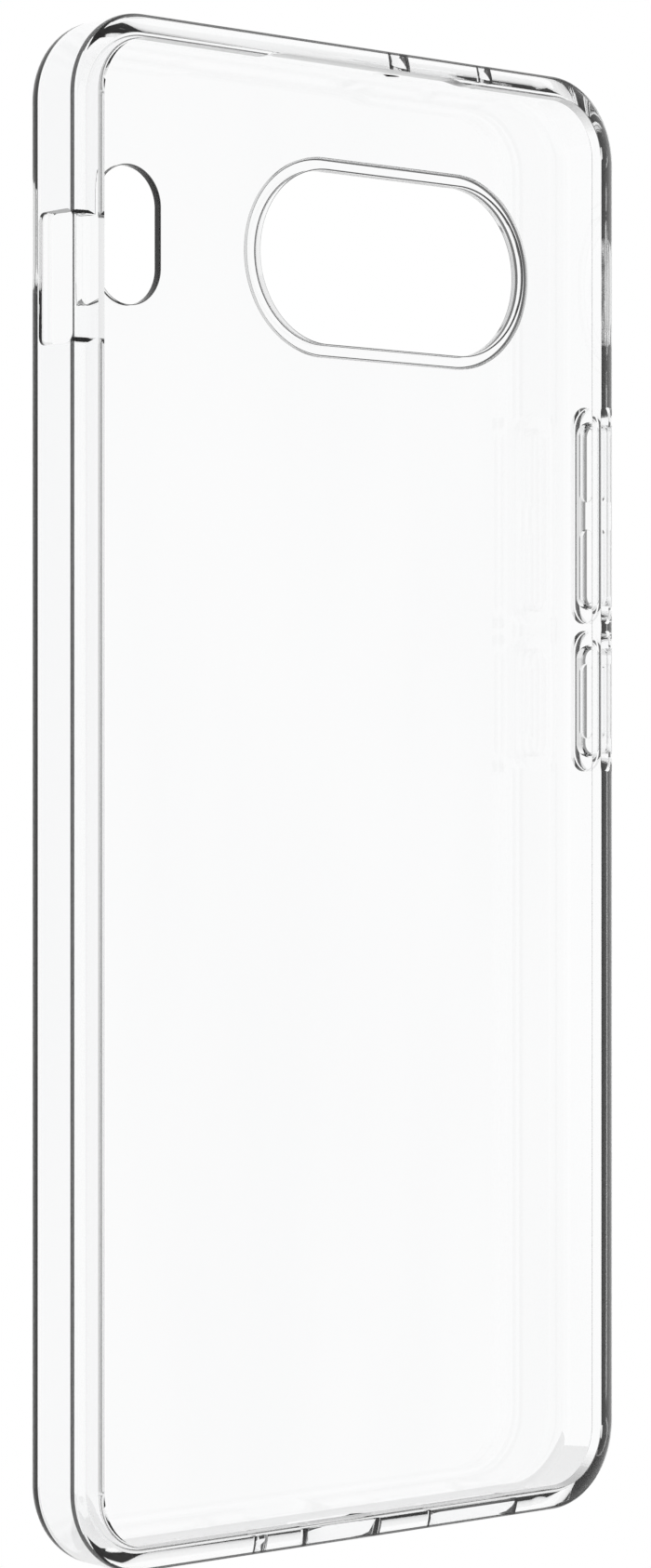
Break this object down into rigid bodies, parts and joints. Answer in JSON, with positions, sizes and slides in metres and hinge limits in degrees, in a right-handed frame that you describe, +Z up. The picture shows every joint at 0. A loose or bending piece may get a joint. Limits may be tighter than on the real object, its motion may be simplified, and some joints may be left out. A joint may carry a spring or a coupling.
{
  "type": "phone case",
  "caption": "Clear soft case for a handheld phone, with a raised camera rim, a slide switch opening, moulded side keys and open ports.",
  "frame": {"origin": "middle of the flat pocket floor, where the back of the phone lies", "axes": "+Z up the case towards the camera end, -Y out of the open side, +X towards the wall with the keys"},
  "size_m": [0.0794, 0.0107, 0.1658],
  "materials": {
    "clear_shell": "clear, polished soft plastic",
    "clear_key": "clear, polished soft plastic"
  },
  "bodies": {
    "case": {"back_panel": "clear_shell", "camera_guard": "clear_shell", "left_wall": "clear_shell", "right_wall": "clear_shell", "top_wall": "clear_shell", "bottom_wall": "clear_shell", "front_lip": "clear_shell", "volume_web": "clear_shell", "power_web": "clear_shell"},
    "volume_bar": {"volume_bar": "clear_key"},
    "power_key": {"power_key": "clear_key"}
  },
  "joints": [
    {"name": "volume_rock", "type": "hinge", "parent": "case", "child": "volume_bar", "pos_m": [0.0389, -0.0046, 0.0325], "axis": [0, 1, 0], "range_deg": [-1.6, 1.6], "stiffness_Nm_per_rad": 0.5},
    {"name": "power_press", "type": "slide", "parent": "case", "child": "power_key", "axis": [-1, 0, 0], "range_m": [0, 0.0004], "stiffness_N_per_m": 3000}
  ]
}
